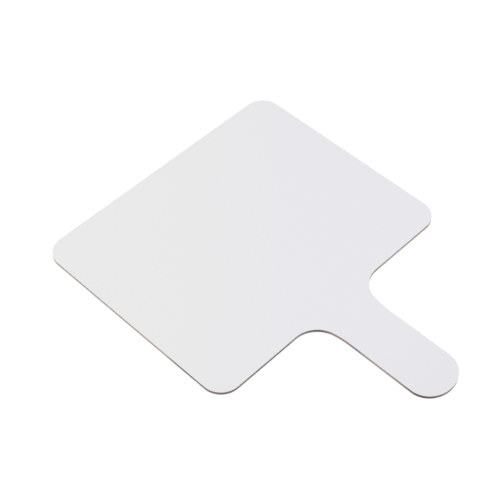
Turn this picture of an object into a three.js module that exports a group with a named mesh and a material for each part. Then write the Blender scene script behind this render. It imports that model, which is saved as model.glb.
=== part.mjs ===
// Scoring paddle: a blank dry-erase board with a short handle.
//
// The panel and the handle are cut in one outline from a sheet of brown hardboard, which has a
// white writing film bonded to each side with a thin layer of glue. Nothing on it moves.
//
// Millimetres, +Z up. The paddle lies on its back, with its underside at z = 0. The origin is
// under the middle of the overall width and length. +Y runs from the handle to the far edge.

import * as THREE from 'three';

// Plan sizes
const PANEL_WIDTH = 200;
const PANEL_LENGTH = 162;
const PANEL_CORNER_RADIUS = 14;
const HANDLE_WIDTH = 35.4;
const HANDLE_LENGTH = 90; // from the panel's near edge to the tip
const HANDLE_END_DEPTH = 15.8; // the handle ends in half an ellipse of this depth

// Where the handle runs into the panel, each of its sides bends away in a wide arc, and then
// turns through the rest of the right angle in a tight one.
const NECK_EASING_RADIUS = 60;
const NECK_EASING_ANGLE = 12; // degrees
const NECK_FILLET_RADIUS = 18;

// Layer thicknesses. Each is a whole number of sixteenths of a millimetre, which binary
// numbers hold exactly, so two layers that touch have faces at exactly the same height.
const FILM_THICKNESS = 2 / 16;
const GLUE_THICKNESS = 1 / 16;
const CORE_THICKNESS = 34 / 16;

const OUTLINE_SEGMENTS = 8; // an arc becomes twice as many straight edges

const OVERALL_LENGTH = PANEL_LENGTH + HANDLE_LENGTH;
const DEGREE = Math.PI / 180;

// The outline shared by every layer, drawn anticlockwise as seen from above. Where an arc
// doesn't start at the end of the one before, a straight line joins the two.
function paddleOutline() {
  const farEdge = OVERALL_LENGTH / 2;
  const nearEdge = farEdge - PANEL_LENGTH;
  const cornerX = PANEL_WIDTH / 2 - PANEL_CORNER_RADIUS;
  const nearCornerY = nearEdge + PANEL_CORNER_RADIUS;
  const farCornerY = farEdge - PANEL_CORNER_RADIUS;
  const handleSide = HANDLE_WIDTH / 2;
  const handleEnd = -OVERALL_LENGTH / 2 + HANDLE_END_DEPTH;

  // The two arcs at the neck meet on the line through their centres, so they run on smoothly.
  const easingX = handleSide + NECK_EASING_RADIUS;
  const betweenCentres = NECK_EASING_RADIUS - NECK_FILLET_RADIUS;
  const filletX = easingX - betweenCentres * Math.cos(NECK_EASING_ANGLE * DEGREE);
  const filletY = nearEdge - NECK_FILLET_RADIUS;
  const easingY = filletY - betweenCentres * Math.sin(NECK_EASING_ANGLE * DEGREE);

  // Angles are in degrees, anticlockwise from +X. An arc to a smaller angle runs clockwise.
  const outline = new THREE.Shape();
  const arc = (x, y, radius, from, to) => {
    outline.absarc(x, y, radius, from * DEGREE, to * DEGREE, to < from);
  };

  outline.absellipse(0, handleEnd, handleSide, HANDLE_END_DEPTH, Math.PI, 2 * Math.PI, false, 0);
  arc(easingX, easingY, NECK_EASING_RADIUS, 180, 180 - NECK_EASING_ANGLE);
  arc(filletX, filletY, NECK_FILLET_RADIUS, 180 - NECK_EASING_ANGLE, 90);
  arc(cornerX, nearCornerY, PANEL_CORNER_RADIUS, 270, 360);
  arc(cornerX, farCornerY, PANEL_CORNER_RADIUS, 0, 90);
  arc(-cornerX, farCornerY, PANEL_CORNER_RADIUS, 90, 180);
  arc(-cornerX, nearCornerY, PANEL_CORNER_RADIUS, 180, 270);
  arc(-filletX, filletY, NECK_FILLET_RADIUS, 90, NECK_EASING_ANGLE);
  arc(-easingX, easingY, NECK_EASING_RADIUS, NECK_EASING_ANGLE, 0);
  outline.closePath();
  return outline;
}

// One flat layer of the board, with its underside at the height given.
function layer(name, outline, underside, thickness, material) {
  const geometry = new THREE.ExtrudeGeometry(outline, {
    depth: thickness,
    bevelEnabled: false,
    curveSegments: OUTLINE_SEGMENTS,
  });
  const mesh = new THREE.Mesh(geometry, material);
  mesh.name = name;
  mesh.position.z = underside;
  return mesh;
}

const whiteFilm = () => new THREE.MeshStandardMaterial({ color: 0xebebed, roughness: 0.3 });
const glueLine = () => new THREE.MeshStandardMaterial({ color: 0xbaa697, roughness: 0.5 });
const hardboard = () => new THREE.MeshStandardMaterial({ color: 0xa5968f, roughness: 0.85 });

// The layers from the underside up, each resting on the one before.
function scoringPaddle() {
  const stack = [
    ['back_film', FILM_THICKNESS, whiteFilm],
    ['back_glue_layer', GLUE_THICKNESS, glueLine],
    ['hardboard_core', CORE_THICKNESS, hardboard],
    ['front_glue_layer', GLUE_THICKNESS, glueLine],
    ['front_film', FILM_THICKNESS, whiteFilm],
  ];
  const outline = paddleOutline();
  const paddle = new THREE.Group();
  paddle.name = 'scoring_paddle';
  let underside = 0;
  for (const [name, thickness, material] of stack) {
    paddle.add(layer(name, outline, underside, thickness, material()));
    underside += thickness;
  }
  return paddle;
}

export default scoringPaddle();
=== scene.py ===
"""A blank dry-erase scoring paddle: the finished looks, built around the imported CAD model.

The paddle is a flat sandwich: a hardboard core with a white writing film glued to each side, cut
to one outline with a router. Each CAD layer is replaced by a finer solid in the same place, with
the cut edge that the real layer has. Metres, in the CAD model's frame.
"""

import math

import bmesh
import bpy
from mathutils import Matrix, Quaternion, Vector, noise

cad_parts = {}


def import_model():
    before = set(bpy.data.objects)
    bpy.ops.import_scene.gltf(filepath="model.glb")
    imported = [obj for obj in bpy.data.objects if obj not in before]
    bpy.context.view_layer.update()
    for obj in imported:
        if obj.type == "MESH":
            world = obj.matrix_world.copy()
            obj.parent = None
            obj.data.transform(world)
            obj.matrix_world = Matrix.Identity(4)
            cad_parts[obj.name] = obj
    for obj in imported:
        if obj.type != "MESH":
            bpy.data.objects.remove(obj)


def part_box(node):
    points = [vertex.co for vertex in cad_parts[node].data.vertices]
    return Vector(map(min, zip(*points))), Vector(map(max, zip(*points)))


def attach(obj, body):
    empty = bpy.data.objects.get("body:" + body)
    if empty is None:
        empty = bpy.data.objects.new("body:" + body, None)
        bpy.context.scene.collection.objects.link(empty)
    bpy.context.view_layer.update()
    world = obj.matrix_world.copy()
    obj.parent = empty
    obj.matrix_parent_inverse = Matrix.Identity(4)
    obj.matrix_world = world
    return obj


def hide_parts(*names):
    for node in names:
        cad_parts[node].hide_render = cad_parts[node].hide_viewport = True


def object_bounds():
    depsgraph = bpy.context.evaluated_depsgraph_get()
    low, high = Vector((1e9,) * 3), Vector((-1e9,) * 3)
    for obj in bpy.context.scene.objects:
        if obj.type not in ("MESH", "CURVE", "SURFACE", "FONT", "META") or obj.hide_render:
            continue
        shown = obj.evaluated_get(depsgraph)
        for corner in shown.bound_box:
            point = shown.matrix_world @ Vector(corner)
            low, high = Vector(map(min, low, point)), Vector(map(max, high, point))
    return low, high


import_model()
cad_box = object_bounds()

MM = 0.001

# Plan sizes of the paddle that its box doesn't give
PANEL_LENGTH = 162 * MM
PANEL_CORNER_RADIUS = 14 * MM
HANDLE_WIDTH = 35.4 * MM
HANDLE_END_DEPTH = 15.8 * MM
NECK_EASING_RADIUS = 60 * MM
NECK_EASING_ANGLE = 12  # degrees
NECK_FILLET_RADIUS = 18 * MM

POINT_SPACING = 0.4 * MM  # along the outline

# The cut edge's painted darkening, partly router scorch and partly painted shade: how far it fades
# along the edge, and the straight stretches painted darker, next to the near left corner, the neck
# and the handle's end
SCORCH_AND_SHADE_FADE = 4 * MM
DARK_BEFORE_CORNER = 28 * MM
DARK_AFTER_NECK = 9 * MM
DARK_BEFORE_TIP = 12 * MM

# A film's outer arris is eased in a quarter round. A narrow flat band inside the arris keeps its
# rounded shading off the rest of the face.
ARRIS_RADIUS = 0.05 * MM
ARRIS_STEPS = 4
ARRIS_BAND = 0.4 * MM

# The glue's cut edge: how far it lies inside the outline, and how far and how often that wavers
GLUE_SETBACK = 0.03 * MM
GLUE_WAVER = 0.015 * MM
GLUE_WAVER_LENGTH = 0.8 * MM

# The core's cut edge: how far it lies inside the outline, its fibre bundles and tufts, and pits
# twice a tuft's size, where the noise that makes them passes a threshold
CORE_ROWS = 14
CORE_SETBACK = 0.05 * MM
FIBRE_LENGTH = 1.6 * MM
FIBRE_HEIGHT = 0.16 * MM
TUFT_LENGTH = 0.7 * MM
TUFT_HEIGHT = 0.35 * MM
CORE_ROUGHNESS = 0.03 * MM
PIT_DEPTH = 0.25 * MM
PIT_THRESHOLD = 0.35
PIT_SHIFT = Vector((7, 3, 1))  # so that the pits don't follow the tufts

# The core is denser and darker over this depth, next to each glue layer
SKIN_DEPTH = 0.5 * MM
SKIN_DARKNESS = 0.25

# The camera: where it looks, from which side and how far, and its lens
CAMERA_TARGET = Vector((-6.23 * MM, 33.22 * MM, 0))
CAMERA_AZIMUTH = -44.40  # degrees
CAMERA_ELEVATION = 50.44  # degrees
CAMERA_ROLL = -1.15  # degrees
CAMERA_DISTANCE = 801.1 * MM
CAMERA_LENS = 90.16  # mm, on Blender's standard 36 mm wide sensor
CAMERA_NEAR = 10 * MM
CAMERA_FAR = 100

# The sky's brightness at the horizon and overhead, and the sine of the elevation from which it
# is as bright as overhead
SKY_LOW = 0.45
SKY_HIGH = 0.75
SKY_FULL_RISE = 0.7

# The softboxes: two alike, one on each side, with their azimuths in degrees and powers in watts
SOFTBOX_WIDTH = 1.2
SOFTBOX_HEIGHT = 0.8
SOFTBOX_DISTANCE = 1.8
SOFTBOX_ELEVATION = 20  # degrees
LEFT_SOFTBOX_AZIMUTH = -135
LEFT_SOFTBOX_POWER = 16
RIGHT_SOFTBOX_AZIMUTH = 45
RIGHT_SOFTBOX_POWER = 13

# The floor and the wall behind it
FLOOR_HALF_WIDTH = 8.0
FLOOR_DROP = 0.05 * MM  # below the paddle's underside, so that the two don't share a plane
FLOOR_WHITENESS = 0.09
FLOOR_GLOW = 0.94
WALL_RADIUS = 7.5
WALL_GLOW = 1.0


# ---------------------------------------------------------------- the outline


class Rim:
    """The paddle's outline: its points, the directions that face out of it, and how dark its cut
    edge is painted, partly scorch and partly painted shade.
    """

    def __init__(self):
        low, high = cad_box
        near_edge = high.y - PANEL_LENGTH
        corner_x = high.x - PANEL_CORNER_RADIUS
        near_corner_y = near_edge + PANEL_CORNER_RADIUS
        far_corner_y = high.y - PANEL_CORNER_RADIUS
        handle_side = HANDLE_WIDTH / 2
        handle_end = low.y + HANDLE_END_DEPTH

        # The neck's two arcs meet on the line through their centres
        turn = math.radians(NECK_EASING_ANGLE)
        between_centres = NECK_EASING_RADIUS - NECK_FILLET_RADIUS
        easing_x = handle_side + NECK_EASING_RADIUS
        fillet_x = easing_x - between_centres * math.cos(turn)
        fillet_y = near_edge - NECK_FILLET_RADIUS
        easing_y = fillet_y - between_centres * math.sin(turn)

        # The centres of the arcs
        tip = (0, handle_end)
        right_easing = (easing_x, easing_y)
        right_fillet = (fillet_x, fillet_y)
        near_right = (corner_x, near_corner_y)
        far_right = (corner_x, far_corner_y)
        far_left = (-corner_x, far_corner_y)
        near_left = (-corner_x, near_corner_y)
        left_fillet = (-fillet_x, fillet_y)
        left_easing = (-easing_x, easing_y)

        # Their radii along X and along Y
        end = (handle_side, HANDLE_END_DEPTH)
        easing = (NECK_EASING_RADIUS, NECK_EASING_RADIUS)
        fillet = (NECK_FILLET_RADIUS, NECK_FILLET_RADIUS)
        corner = (PANEL_CORNER_RADIUS, PANEL_CORNER_RADIUS)

        # Places on the left side where the edge's painted darkening, partly scorch and partly
        # painted shade, changes along a straight line
        dark_into_corner = Vector((low.x, near_corner_y + DARK_BEFORE_CORNER, 0))
        dark_out_of_neck = Vector((-handle_side, easing_y - DARK_AFTER_NECK, 0))
        dark_into_tip = Vector((-handle_side, handle_end + DARK_BEFORE_TIP, 0))

        # From the handle's left side, anticlockwise. Each stretch's number, from 0 to 1, is how
        # dark its
        # cut edge is painted: partly router scorch, strongest where the router turns, and partly
        # painted shade, strongest where the edge faces between the two softboxes, which light it
        # least. Both are most of all round the tip, the near left corner and the left of the neck.
        self.points = []
        self.normals = []
        self.scorch_and_shade = []
        self.arc(tip, end, 180, 225, burn_and_shade=0.8)
        self.arc(tip, end, 225, 270, burn_and_shade=0.4)
        self.arc(tip, end, 270, 360, burn_and_shade=0.1)
        self.arc(right_easing, easing, 180, 180 - NECK_EASING_ANGLE, burn_and_shade=0.2, line_burn_and_shade=0.05)
        self.arc(right_fillet, fillet, 180 - NECK_EASING_ANGLE, 90, burn_and_shade=0.35)
        self.arc(near_right, corner, 270, 360, burn_and_shade=0.25, line_burn_and_shade=0.05)
        self.arc(far_right, corner, 0, 90, burn_and_shade=0.3)
        self.arc(far_left, corner, 90, 180, burn_and_shade=0.0)
        self.line_to(dark_into_corner, burn_and_shade=0.0)
        self.arc(near_left, corner, 180, 270, burn_and_shade=0.5, line_burn_and_shade=0.57)
        self.arc(left_fillet, fillet, 90, 60, burn_and_shade=0.2, line_burn_and_shade=0.5)
        self.arc(left_fillet, fillet, 60, 35, burn_and_shade=0.9)
        self.arc(left_fillet, fillet, 35, NECK_EASING_ANGLE, burn_and_shade=0.3)
        self.arc(left_easing, easing, NECK_EASING_ANGLE, 0, burn_and_shade=0.15)
        self.line_to(dark_out_of_neck, burn_and_shade=0.55)
        self.line_to(dark_into_tip, burn_and_shade=0.05)
        self.line_to(self.points[0], burn_and_shade=0.35)
        self.scorch_and_shade = self.faded(self.scorch_and_shade)

    def add(self, point, normal, burn_and_shade):
        self.points.append(point)
        self.normals.append(normal)
        self.scorch_and_shade.append(burn_and_shade)

    def line_to(self, end, burn_and_shade):
        """Points between the last one and end, with neither of the two."""
        start = self.points[-1]
        along = end - start
        steps = max(1, round(along.length / POINT_SPACING))
        normal = Vector((along.y, -along.x, 0)).normalized()
        for step in range(1, steps):
            self.add(start + along * step / steps, normal, burn_and_shade)

    def arc(self, centre, radii, start, end, burn_and_shade, line_burn_and_shade=0.0):
        """A straight line to the arc, and then the arc, between two angles in degrees.

        The arc leaves out its first point where the outline is already there.
        """
        turn = math.radians(end - start)
        steps = round(abs(turn) * (radii[0] + radii[1]) / 2 / POINT_SPACING)
        side = math.copysign(1, turn)  # an arc that turns right is hollow, and faces its centre
        for step in range(steps + 1):
            angle = math.radians(start) + turn * step / steps
            across = Vector((math.cos(angle), math.sin(angle), 0))
            point = Vector((centre[0] + radii[0] * across.x, centre[1] + radii[1] * across.y, 0))
            normal = Vector((across.x / radii[0], across.y / radii[1], 0)).normalized()
            if step == 0 and self.points:
                if (point - self.points[-1]).length < POINT_SPACING / 2:
                    continue
                self.line_to(point, line_burn_and_shade)
            self.add(point, side * normal, burn_and_shade)

    def faded(self, values):
        """The values round the outline, blurred along it."""
        reach = round(SCORCH_AND_SHADE_FADE / POINT_SPACING)
        for _ in range(2):
            values = [
                sum(values[(i + k) % len(values)] for k in range(-reach, reach + 1))
                / (2 * reach + 1)
                for i in range(len(values))
            ]
        return values


# ---------------------------------------------------------------- the layers


def slab(name, rim, rings):
    """A closed solid. rings holds, from the underside up, a height and the inset from the outline.

    An inset is a length, or a function of a point of the outline and the height.
    """
    bm = bmesh.new()
    loops = []
    for height, inset in rings:
        loop = []
        for point, normal in zip(rim.points, rim.normals):
            depth = inset(point, height) if callable(inset) else inset
            spot = point - normal * depth
            loop.append(bm.verts.new((spot.x, spot.y, height)))
        loops.append(loop)
    count = len(rim.points)
    for below, above in zip(loops, loops[1:]):
        for i in range(count):
            j = (i + 1) % count
            bm.faces.new((below[i], below[j], above[j], above[i])).smooth = True
    bm.faces.new(reversed(loops[0]))
    bm.faces.new(loops[-1])
    mesh = bpy.data.meshes.new(name)
    bm.to_mesh(mesh)
    bm.free()
    return show(name, mesh)


def stand_for(piece, node, material):
    """The piece takes the material, and stands for the CAD node."""
    piece.data.materials.append(material)
    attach(piece, "root")
    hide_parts(node)


def film(name, node, rim, faces_up, material):
    """A writing film: its outer arris is eased, and its glued side is cut square."""
    low, high = (corner.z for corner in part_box(node))
    rings = [(low, 0.0)]
    for step in range(ARRIS_STEPS + 1):
        angle = math.pi / 2 * step / ARRIS_STEPS
        height = high - ARRIS_RADIUS + ARRIS_RADIUS * math.sin(angle)
        rings.append((height, ARRIS_RADIUS - ARRIS_RADIUS * math.cos(angle)))
    rings.append((high, ARRIS_BAND))
    if not faces_up:
        rings = [(low + high - height, inset) for height, inset in reversed(rings)]
    stand_for(slab(name, rim, rings), node, material)


def glue_line(name, node, rim, material):
    """A glue layer, which the router leaves a little behind the film."""
    low, high = (corner.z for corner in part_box(node))

    def inset(point, height):
        return GLUE_SETBACK + GLUE_WAVER * noise.noise(point / GLUE_WAVER_LENGTH)

    stand_for(slab(name, rim, [(low, inset), (high, inset)]), node, material)


def grain(point, height, length, thickness, shift=Vector((0, 0, 0))):
    """Soft noise from -1 to 1, in flat blotches of that length and thickness."""
    return noise.noise(Vector((point.x / length, point.y / length, height / thickness)) + shift)


def core(name, node, rim, material):
    """The hardboard: its cut edge is a wall of fibre bundles that lie flat, with torn pits."""
    low, high = (corner.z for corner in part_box(node))

    def inset(point, height):
        fibres = grain(point, height, FIBRE_LENGTH, FIBRE_HEIGHT)
        tufts = grain(point, height, TUFT_LENGTH, TUFT_HEIGHT)
        pits = grain(point, height, 2 * TUFT_LENGTH, 2 * TUFT_HEIGHT, PIT_SHIFT)
        depth = CORE_SETBACK + CORE_ROUGHNESS * (fibres + tufts)
        return depth + PIT_DEPTH * max(0.0, pits - PIT_THRESHOLD)

    rings = [(low + (high - low) * row / CORE_ROWS, inset) for row in range(CORE_ROWS + 1)]
    piece = slab(name, rim, rings)
    # How dark the cut edge is painted, point by point: partly router scorch, partly painted shade
    scorch_and_shade = piece.data.attributes.new("scorch_and_shade", "FLOAT", "POINT")
    scorch_and_shade.data.foreach_set("value", rim.scorch_and_shade * len(rings))
    stand_for(piece, node, material)


# ---------------------------------------------------------------- the materials


class Nodes:
    """A new material's node tree, with short calls for the nodes used here."""

    def __init__(self, name):
        self.material = bpy.data.materials.new(name)
        self.material.use_nodes = True
        self.tree = self.material.node_tree
        self.shader = self.tree.nodes["Principled BSDF"]
        self.position = self.tree.nodes.new("ShaderNodeTexCoord").outputs["Object"]

    def node(self, kind, **settings):
        node = self.tree.nodes.new(kind)
        for key, value in settings.items():
            setattr(node, key, value)
        return node

    def set(self, socket, value):
        """The socket takes a number or colour, or the link from another node."""
        if isinstance(value, bpy.types.NodeSocket):
            self.tree.links.new(value, socket)
        else:
            socket.default_value = value

    def shade(self, name, value):
        """Sets the shader's input of that name."""
        self.set(self.shader.inputs[name], value)

    def stretched(self, size, turned):
        """The position, turned by some degrees about Z, counted in lengths of size."""
        mapping = self.node("ShaderNodeMapping", vector_type="TEXTURE")
        self.set(mapping.inputs["Vector"], self.position)
        self.set(mapping.inputs["Rotation"], [0, 0, math.radians(turned)])
        self.set(mapping.inputs["Scale"], size)
        return mapping.outputs["Vector"]

    def noise(self, size, detail=2.0, roughness=0.5, turned=0, distortion=0.0):
        """Soft noise from 0 to 1, whose blotches have that size along X, Y and Z."""
        node = self.node("ShaderNodeTexNoise")
        self.set(node.inputs["Vector"], self.stretched(size, turned))
        self.set(node.inputs["Scale"], 1.0)
        self.set(node.inputs["Detail"], detail)
        self.set(node.inputs["Roughness"], roughness)
        self.set(node.inputs["Distortion"], distortion)
        return node.outputs["Fac"]

    def ramp(self, value, low, high, out_low=0.0, out_high=1.0):
        """A value between low and high becomes one between out_low and out_high."""
        node = self.node("ShaderNodeMapRange")
        names = ("Value", "From Min", "From Max", "To Min", "To Max")
        for name, item in zip(names, (value, low, high, out_low, out_high)):
            self.set(node.inputs[name], item)
        return node.outputs["Result"]

    def mix(self, share, first, second):
        """The first colour, going over to the second as share goes from 0 to 1."""
        node = self.node("ShaderNodeMix", data_type="RGBA")
        sockets = {socket.identifier: socket for socket in (*node.inputs, *node.outputs)}
        self.set(sockets["Factor_Float"], share)
        self.set(sockets["A_Color"], first)
        self.set(sockets["B_Color"], second)
        return sockets["Result_Color"]

    def math(self, operation, first, second):
        node = self.node("ShaderNodeMath", operation=operation)
        self.set(node.inputs[0], first)
        self.set(node.inputs[1], second)
        return node.outputs["Value"]

    def attribute(self, name):
        """A number kept in the mesh, point by point."""
        return self.node("ShaderNodeAttribute", attribute_name=name).outputs["Fac"]

    def along(self, axis):
        """How far along the axis X, Y or Z the position is, in metres."""
        node = self.node("ShaderNodeSeparateXYZ")
        self.set(node.inputs["Vector"], self.position)
        return node.outputs[axis]

    def bump(self, height, distance):
        """The shader's normal, tilted by a height from 0 to 1 that stands for distance."""
        node = self.node("ShaderNodeBump")
        self.set(node.inputs["Height"], height)
        self.set(node.inputs["Distance"], distance)
        return node.outputs["Normal"]


def film_material():
    """White writing film: glossy, with a faint orange peel and the trace of an eraser's wiping.

    Its white is painted slightly cooler from the far left corner to the middle, and slightly
    darker
    towards the end of the handle: a painted tint of the light and painted shade, not the film's
    own.
    """
    nodes = Nodes("white_film")
    neutral = [0.829, 0.828, 0.829, 1]
    # Painted light: cooler towards the middle of the face, and painted shade towards the handle's
    # end
    cool = [0.826, 0.820, 0.854, 1]
    shaded_handle_end = [0.806, 0.799, 0.829, 1]
    across = nodes.math("SUBTRACT", nodes.along("X"), nodes.along("Y"))
    colour = nodes.mix(nodes.ramp(across, -100 * MM, 0.0), neutral, cool)
    colour = nodes.mix(nodes.ramp(nodes.along("Y"), -70 * MM, -120 * MM), colour, shaded_handle_end)
    wiping = nodes.noise((90 * MM, 8 * MM, 8 * MM), detail=3.0, turned=35, distortion=0.5)
    peel = nodes.noise((2.2 * MM, 2.2 * MM, 2.2 * MM), detail=1.0)
    nodes.shade("Base Color", colour)
    nodes.shade("Roughness", nodes.ramp(wiping, 0.2, 0.8, 0.29, 0.38))
    nodes.shade("Normal", nodes.bump(peel, 0.004 * MM))
    return nodes.material


def glue_material():
    """Dried glue, tan where it has soaked up dust from the cut."""
    nodes = Nodes("glue_line")
    clean = [0.60, 0.49, 0.40, 1]
    dusty = [0.38, 0.27, 0.21, 1]
    dust = nodes.noise((1.5 * MM, 1.5 * MM, 1.5 * MM), detail=3.0)
    nodes.shade("Base Color", nodes.mix(dust, clean, dusty))
    nodes.shade("Roughness", 0.5)
    return nodes.material


def hardboard_material(node):
    """Pressed brown fibres, denser and darker next to each film, and darkened along the cut edge:
    partly router scorch, partly painted shade.
    """
    low, high = (corner.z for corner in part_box(node))
    nodes = Nodes("hardboard")
    light = [0.485, 0.403, 0.365, 1]
    dark = [0.262, 0.204, 0.181, 1]
    speck = [0.155, 0.114, 0.099, 1]
    burnt_and_shaded = [0.054, 0.041, 0.036, 1]
    fibres = nodes.noise((1.8 * MM, 1.8 * MM, 0.12 * MM), detail=4.0, roughness=0.6)
    specks = nodes.noise((0.25 * MM, 0.25 * MM, 0.12 * MM), detail=2.0)
    blotches = nodes.noise((9 * MM, 9 * MM, 2.5 * MM), detail=2.0)
    height = nodes.along("Z")
    lower_skin = nodes.ramp(height, low, low + SKIN_DEPTH, SKIN_DARKNESS, 0.0)
    upper_skin = nodes.ramp(height, high - SKIN_DEPTH, high, 0.0, SKIN_DARKNESS)
    patchy = nodes.ramp(blotches, 0.3, 0.7, 0.75, 1.25)
    # The edge's darkening, partly router scorch and partly painted shade, made patchy
    burn_and_shade = nodes.math("MULTIPLY", nodes.attribute("scorch_and_shade"), patchy)
    colour = nodes.mix(nodes.ramp(fibres, 0.3, 0.7), light, dark)
    colour = nodes.mix(nodes.ramp(specks, 0.55, 0.8, 0.0, 0.6), colour, speck)
    colour = nodes.mix(lower_skin, colour, dark)
    colour = nodes.mix(upper_skin, colour, dark)
    colour = nodes.mix(burn_and_shade, colour, burnt_and_shaded)
    nodes.shade("Base Color", colour)
    nodes.shade("Roughness", nodes.ramp(fibres, 0.2, 0.8, 0.75, 0.95))
    nodes.shade("Normal", nodes.bump(fibres, 0.03 * MM))
    nodes.shade("Specular IOR Level", 0.25)
    return nodes.material


def glowing_material(name, whiteness, glow):
    """Matt white that gives off light of its own."""
    nodes = Nodes(name)
    nodes.shade("Base Color", [whiteness, whiteness, whiteness, 1])
    nodes.shade("Roughness", 1.0)
    nodes.shade("Specular IOR Level", 0.0)
    nodes.shade("Emission Color", [1, 1, 1, 1])
    nodes.shade("Emission Strength", glow)
    return nodes.material


# ---------------------------------------------------------------- the studio


def show(name, data):
    """A new object in the scene that holds the mesh, light or camera."""
    holder = bpy.data.objects.new(name, data)
    bpy.context.scene.collection.objects.link(holder)
    return holder


def direction(azimuth, elevation):
    """The way from the paddle to a camera or lamp, at angles in degrees.

    Azimuth 0 is straight past the end of the handle, and 90 is to the right, along +X.
    """
    side = math.radians(azimuth)
    rise = math.radians(elevation)
    return Vector((
        math.sin(side) * math.cos(rise),
        -math.cos(side) * math.cos(rise),
        math.sin(rise),
    ))


def floor():
    """A wide white floor that glows, as a lit sweep does, so shadows on it are faint."""
    half = FLOOR_HALF_WIDTH
    corners = [(-half, -half), (half, -half), (half, half), (-half, half)]
    mesh = bpy.data.meshes.new("floor")
    mesh.from_pydata([(x, y, -FLOOR_DROP) for x, y in corners], [], [(0, 1, 2, 3)])
    mesh.materials.append(glowing_material("white_floor", FLOOR_WHITENESS, FLOOR_GLOW))
    show("floor", mesh)


def backdrop():
    """A white wall all round, far off. Only the camera sees it, so it lights nothing."""
    bm = bmesh.new()
    bmesh.ops.create_uvsphere(bm, u_segments=48, v_segments=24, radius=WALL_RADIUS)
    mesh = bpy.data.meshes.new("backdrop")
    bm.to_mesh(mesh)
    bm.free()
    mesh.materials.append(glowing_material("white_backdrop", 0.0, WALL_GLOW))
    wall = show("backdrop", mesh)
    for ray in ("diffuse", "glossy", "transmission", "volume_scatter", "shadow"):
        setattr(wall, "visible_" + ray, False)


def world():
    """A sky that is dim at the horizon and brighter overhead, like the inside of a light tent."""
    sky = bpy.data.worlds.new("studio")
    bpy.context.scene.world = sky
    sky.use_nodes = True
    tree = sky.node_tree
    background = tree.nodes["Background"]
    outward = tree.nodes.new("ShaderNodeTexCoord").outputs["Generated"]
    parts = tree.nodes.new("ShaderNodeSeparateXYZ")
    rise = tree.nodes.new("ShaderNodeMapRange")
    rise.interpolation_type = "SMOOTHSTEP"
    rise.inputs["From Min"].default_value = 0.0
    rise.inputs["From Max"].default_value = SKY_FULL_RISE
    rise.inputs["To Min"].default_value = SKY_LOW
    rise.inputs["To Max"].default_value = SKY_HIGH
    tree.links.new(outward, parts.inputs["Vector"])
    tree.links.new(parts.outputs["Z"], rise.inputs["Value"])
    tree.links.new(rise.outputs["Result"], background.inputs["Strength"])
    background.inputs["Color"].default_value = (1, 1, 1, 1)


def softbox(name, azimuth, power):
    """A large soft light, low down on one side.

    The glossy film doesn't mirror it, or the face would be as white as the floor from across.
    """
    back = direction(azimuth, SOFTBOX_ELEVATION)
    data = bpy.data.lights.new(name, "AREA")
    data.shape = "RECTANGLE"
    data.size = SOFTBOX_WIDTH
    data.size_y = SOFTBOX_HEIGHT
    data.energy = power
    lamp = show(name, data)
    lamp.rotation_mode = "QUATERNION"
    lamp.rotation_quaternion = back.to_track_quat("Z", "Y")
    lamp.location = back * SOFTBOX_DISTANCE
    lamp.visible_camera = False
    lamp.visible_glossy = False


def camera():
    back = direction(CAMERA_AZIMUTH, CAMERA_ELEVATION)
    roll = Quaternion((0, 0, 1), math.radians(CAMERA_ROLL))
    data = bpy.data.cameras.new("camera")
    data.lens = CAMERA_LENS
    data.clip_start = CAMERA_NEAR
    data.clip_end = CAMERA_FAR
    holder = show("camera", data)
    holder.rotation_mode = "QUATERNION"
    holder.rotation_quaternion = back.to_track_quat("Z", "Y") @ roll
    holder.location = CAMERA_TARGET + back * CAMERA_DISTANCE
    bpy.context.scene.camera = holder


# ---------------------------------------------------------------- the scene

bpy.context.scene.view_settings.view_transform = "Standard"
camera()
world()
softbox("left_softbox", LEFT_SOFTBOX_AZIMUTH, LEFT_SOFTBOX_POWER)
softbox("right_softbox", RIGHT_SOFTBOX_AZIMUTH, RIGHT_SOFTBOX_POWER)
floor()
backdrop()

rim = Rim()
white = film_material()
glue = glue_material()
board = hardboard_material("hardboard_core")
film("back_writing_film", "back_film", rim, faces_up=False, material=white)
glue_line("back_glue_line", "back_glue_layer", rim, glue)
core("hardboard_core_board", "hardboard_core", rim, board)
glue_line("front_glue_line", "front_glue_layer", rim, glue)
film("front_writing_film", "front_film", rim, faces_up=True, material=white)
